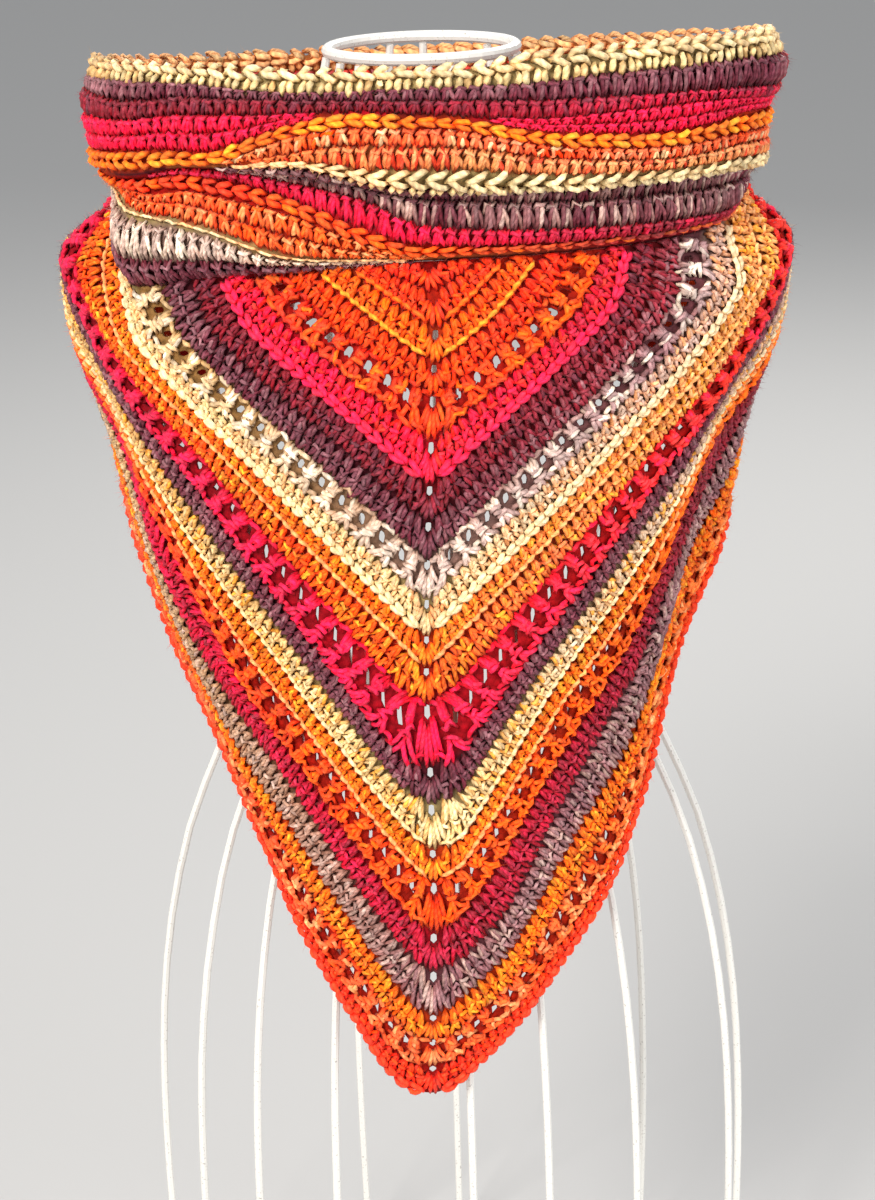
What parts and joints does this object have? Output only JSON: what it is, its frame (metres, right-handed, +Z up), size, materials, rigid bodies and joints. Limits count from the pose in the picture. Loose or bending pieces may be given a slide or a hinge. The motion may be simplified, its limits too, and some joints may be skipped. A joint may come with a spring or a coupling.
{
  "type": "bandana cowl on a wire dress form",
  "caption": "Crocheted bandana cowl with a slouched neck tube and a pointed striped front, draped on a limbless white wire dress form that stands on its bottom hoop",
  "frame": {"origin": "on the floor, under the centre of the form, at the underside of its bottom hoop", "axes": "+Z up, front faces -Y, +X to the right as seen from the front"},
  "size_m": [0.3249, 0.1962, 0.6736],
  "materials": {
    "yarn": "soft spun worsted yarn in stripes of orange, cream, pink and plum",
    "painted_wire": "satin white paint on steel wire"
  },
  "bodies": {
    "root": {"neck_band": "yarn", "neck_pouch": "yarn", "front_triangle": "yarn", "hem_border": "yarn", "neck_ring": "painted_wire", "wire_01": "painted_wire", "wire_02": "painted_wire", "wire_03": "painted_wire", "wire_04": "painted_wire", "wire_05": "painted_wire", "wire_06": "painted_wire", "wire_07": "painted_wire", "wire_08": "painted_wire", "wire_09": "painted_wire", "wire_10": "painted_wire", "wire_11": "painted_wire", "wire_12": "painted_wire", "base_hoop": "painted_wire"}
  },
  "joints": []
}
